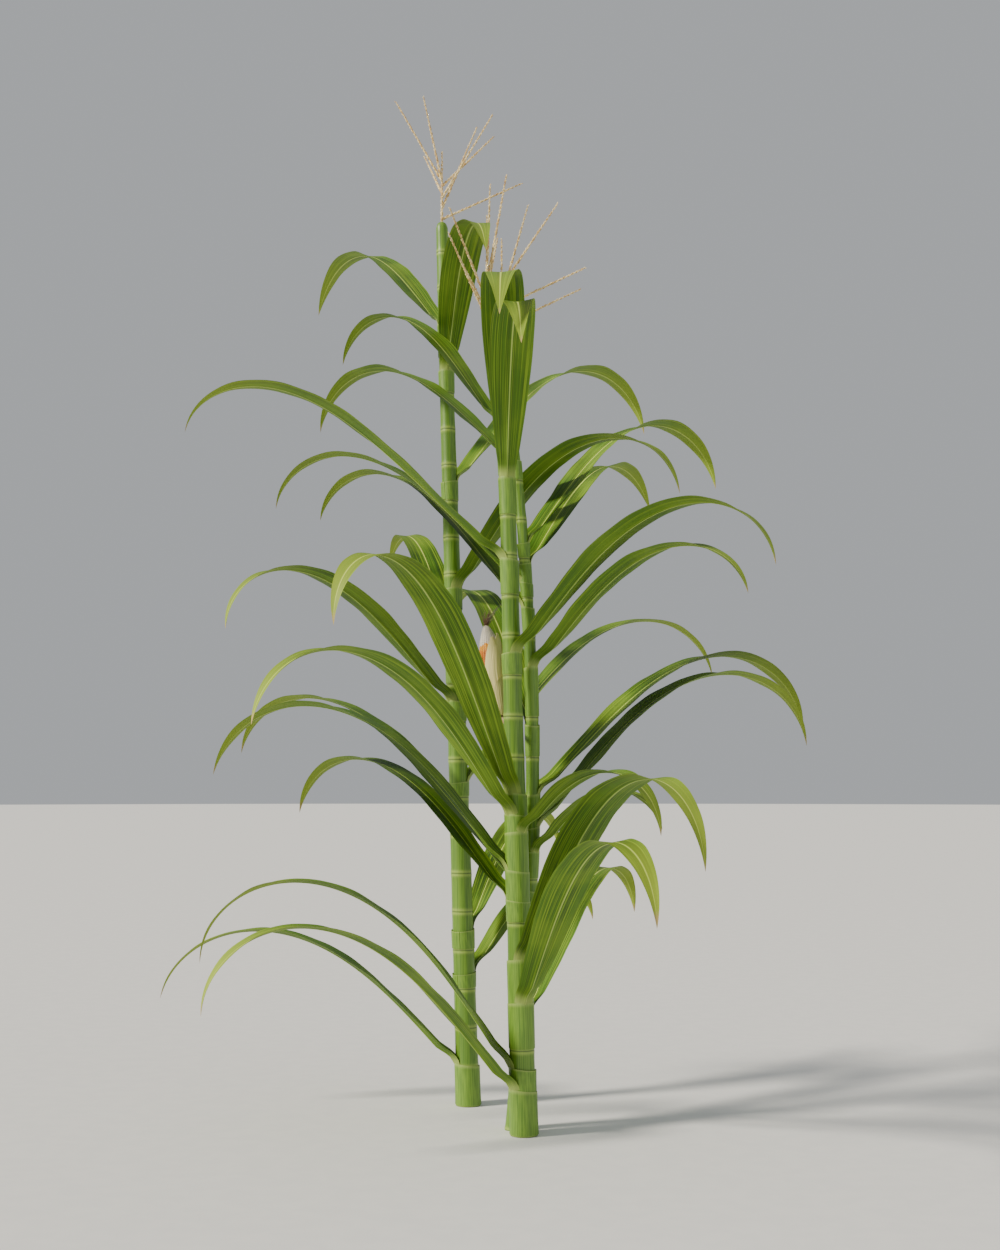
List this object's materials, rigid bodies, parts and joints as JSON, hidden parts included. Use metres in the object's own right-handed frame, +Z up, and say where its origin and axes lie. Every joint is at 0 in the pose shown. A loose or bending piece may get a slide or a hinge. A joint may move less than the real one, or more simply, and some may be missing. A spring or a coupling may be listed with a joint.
{
  "type": "maize plant",
  "caption": "Standing maize clump: jointed green stems with long arching strap leaves, an ear in its open husk and stiff straw-coloured tassels, fixed in level ground.",
  "frame": {"origin": "centre of the main stem's flat cut, at ground level", "axes": "+Z up along the main stem, +Y away from the plant's open front, +X to its right"},
  "size_m": [1.6918, 1.7858, 2.695],
  "materials": {
    "stem": "smooth waxy green cane, paler ring at each joint",
    "leaf": "satin green blade with parallel veins and a pale midrib",
    "tassel": "dry straw, matt",
    "kernels": "glossy orange kernels, paling towards the tip",
    "husk": "dry papery cream, fine lengthwise ribs"
  },
  "bodies": {
    "root": {"ear_cob": "kernels", "ear_husk": "husk", "main_leaf_01": "leaf", "main_leaf_01_tip": "leaf", "main_leaf_02": "leaf", "main_leaf_02_tip": "leaf", "main_leaf_03": "leaf", "main_leaf_03_tip": "leaf", "main_leaf_04": "leaf", "main_leaf_04_tip": "leaf", "main_leaf_05": "leaf", "main_leaf_06": "leaf", "main_leaf_06_tip": "leaf", "main_leaf_07": "leaf", "main_leaf_08": "leaf", "main_leaf_08_tip": "leaf", "main_leaf_09": "leaf", "main_leaf_09_tip": "leaf", "main_leaf_10": "leaf", "main_leaf_11": "leaf", "main_leaf_11_tip": "leaf", "main_leaf_12": "leaf", "main_leaf_13": "leaf", "main_leaf_14": "leaf", "main_stem": "stem", "main_tassel": "tassel", "rear_leaf_01": "leaf", "rear_leaf_01_tip": "leaf", "rear_leaf_02": "leaf", "rear_leaf_03": "leaf", "rear_leaf_04": "leaf", "rear_leaf_04_tip": "leaf", "rear_leaf_05": "leaf", "rear_leaf_06": "leaf", "rear_leaf_07": "leaf", "rear_leaf_08": "leaf", "rear_leaf_08_tip": "leaf", "rear_leaf_09": "leaf", "rear_leaf_10": "leaf", "rear_leaf_10_tip": "leaf", "rear_stem": "stem", "rear_tassel": "tassel", "side_leaf_01": "leaf", "side_leaf_02": "leaf", "side_leaf_02_tip": "leaf", "side_leaf_03": "leaf", "side_leaf_04": "leaf", "side_leaf_04_tip": "leaf", "side_leaf_05": "leaf", "side_leaf_05_tip": "leaf", "side_leaf_06": "leaf", "side_leaf_07": "leaf", "side_leaf_08": "leaf", "side_leaf_09": "leaf", "side_leaf_10": "leaf", "side_leaf_11": "leaf", "side_leaf_11_tip": "leaf", "side_leaf_12": "leaf", "side_stem": "stem", "side_tassel": "tassel"}
  },
  "joints": []
}
